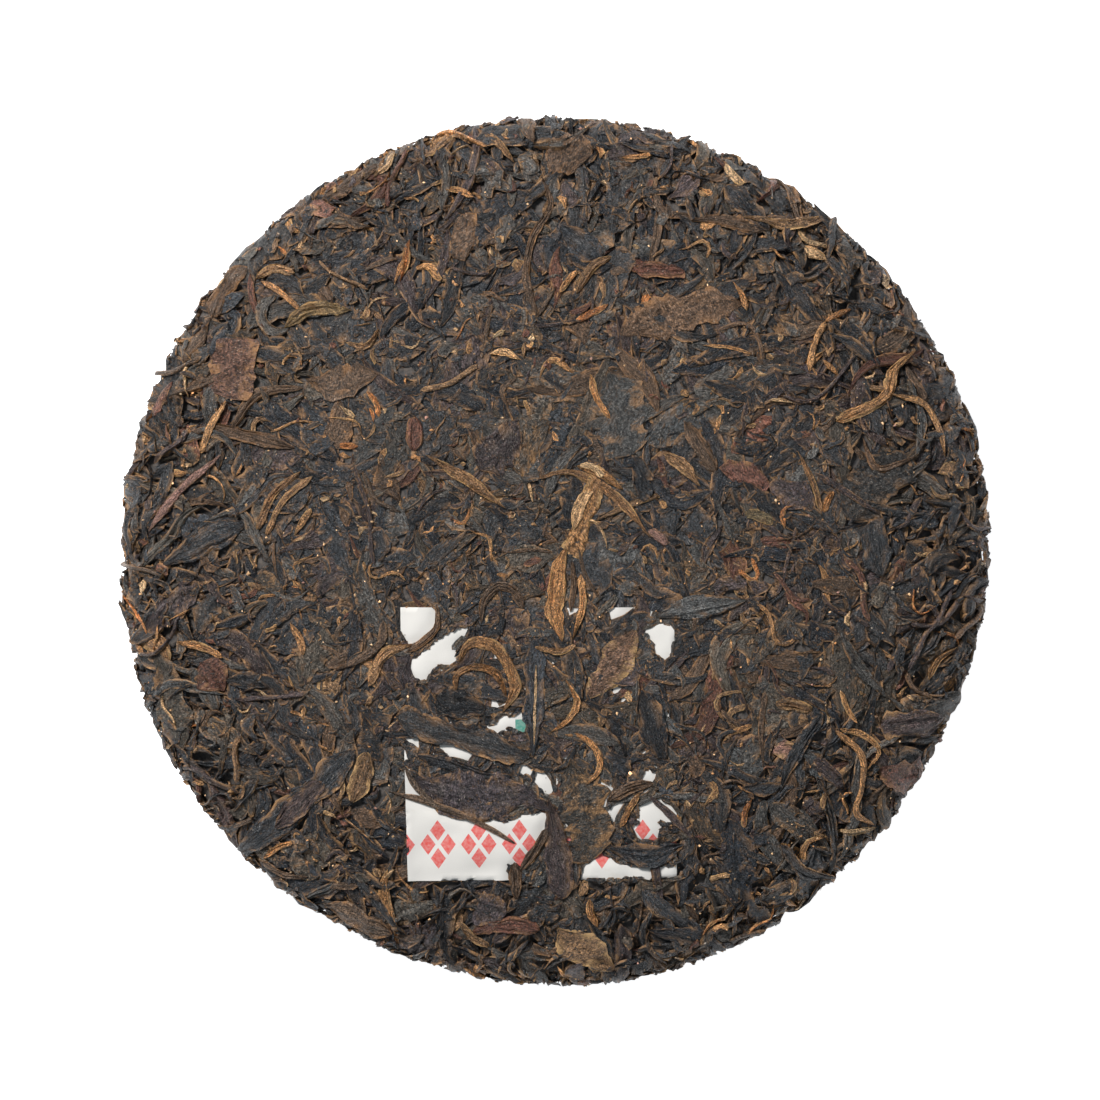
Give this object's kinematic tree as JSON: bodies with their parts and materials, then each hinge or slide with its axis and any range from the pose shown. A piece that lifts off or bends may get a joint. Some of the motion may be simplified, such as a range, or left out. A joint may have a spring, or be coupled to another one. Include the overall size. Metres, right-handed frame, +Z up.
{
  "type": "pu erh tea cake",
  "caption": "Round pressed cake of dark tea leaves with a domed face, a navel in its back and a square paper ticket caught under the leaves.",
  "frame": {"origin": "centre of the surface that the cake lies on", "axes": "+Z up out of the domed face, +Y towards the top edge of the ticket"},
  "size_m": [0.1974, 0.199, 0.0251],
  "materials": {
    "tea_leaf": "dry, matte to faintly waxy",
    "ticket_paper": "thin uncoated paper"
  },
  "bodies": {
    "root": {"pressed_leaves": "tea_leaf", "ticket": "ticket_paper"}
  },
  "joints": []
}
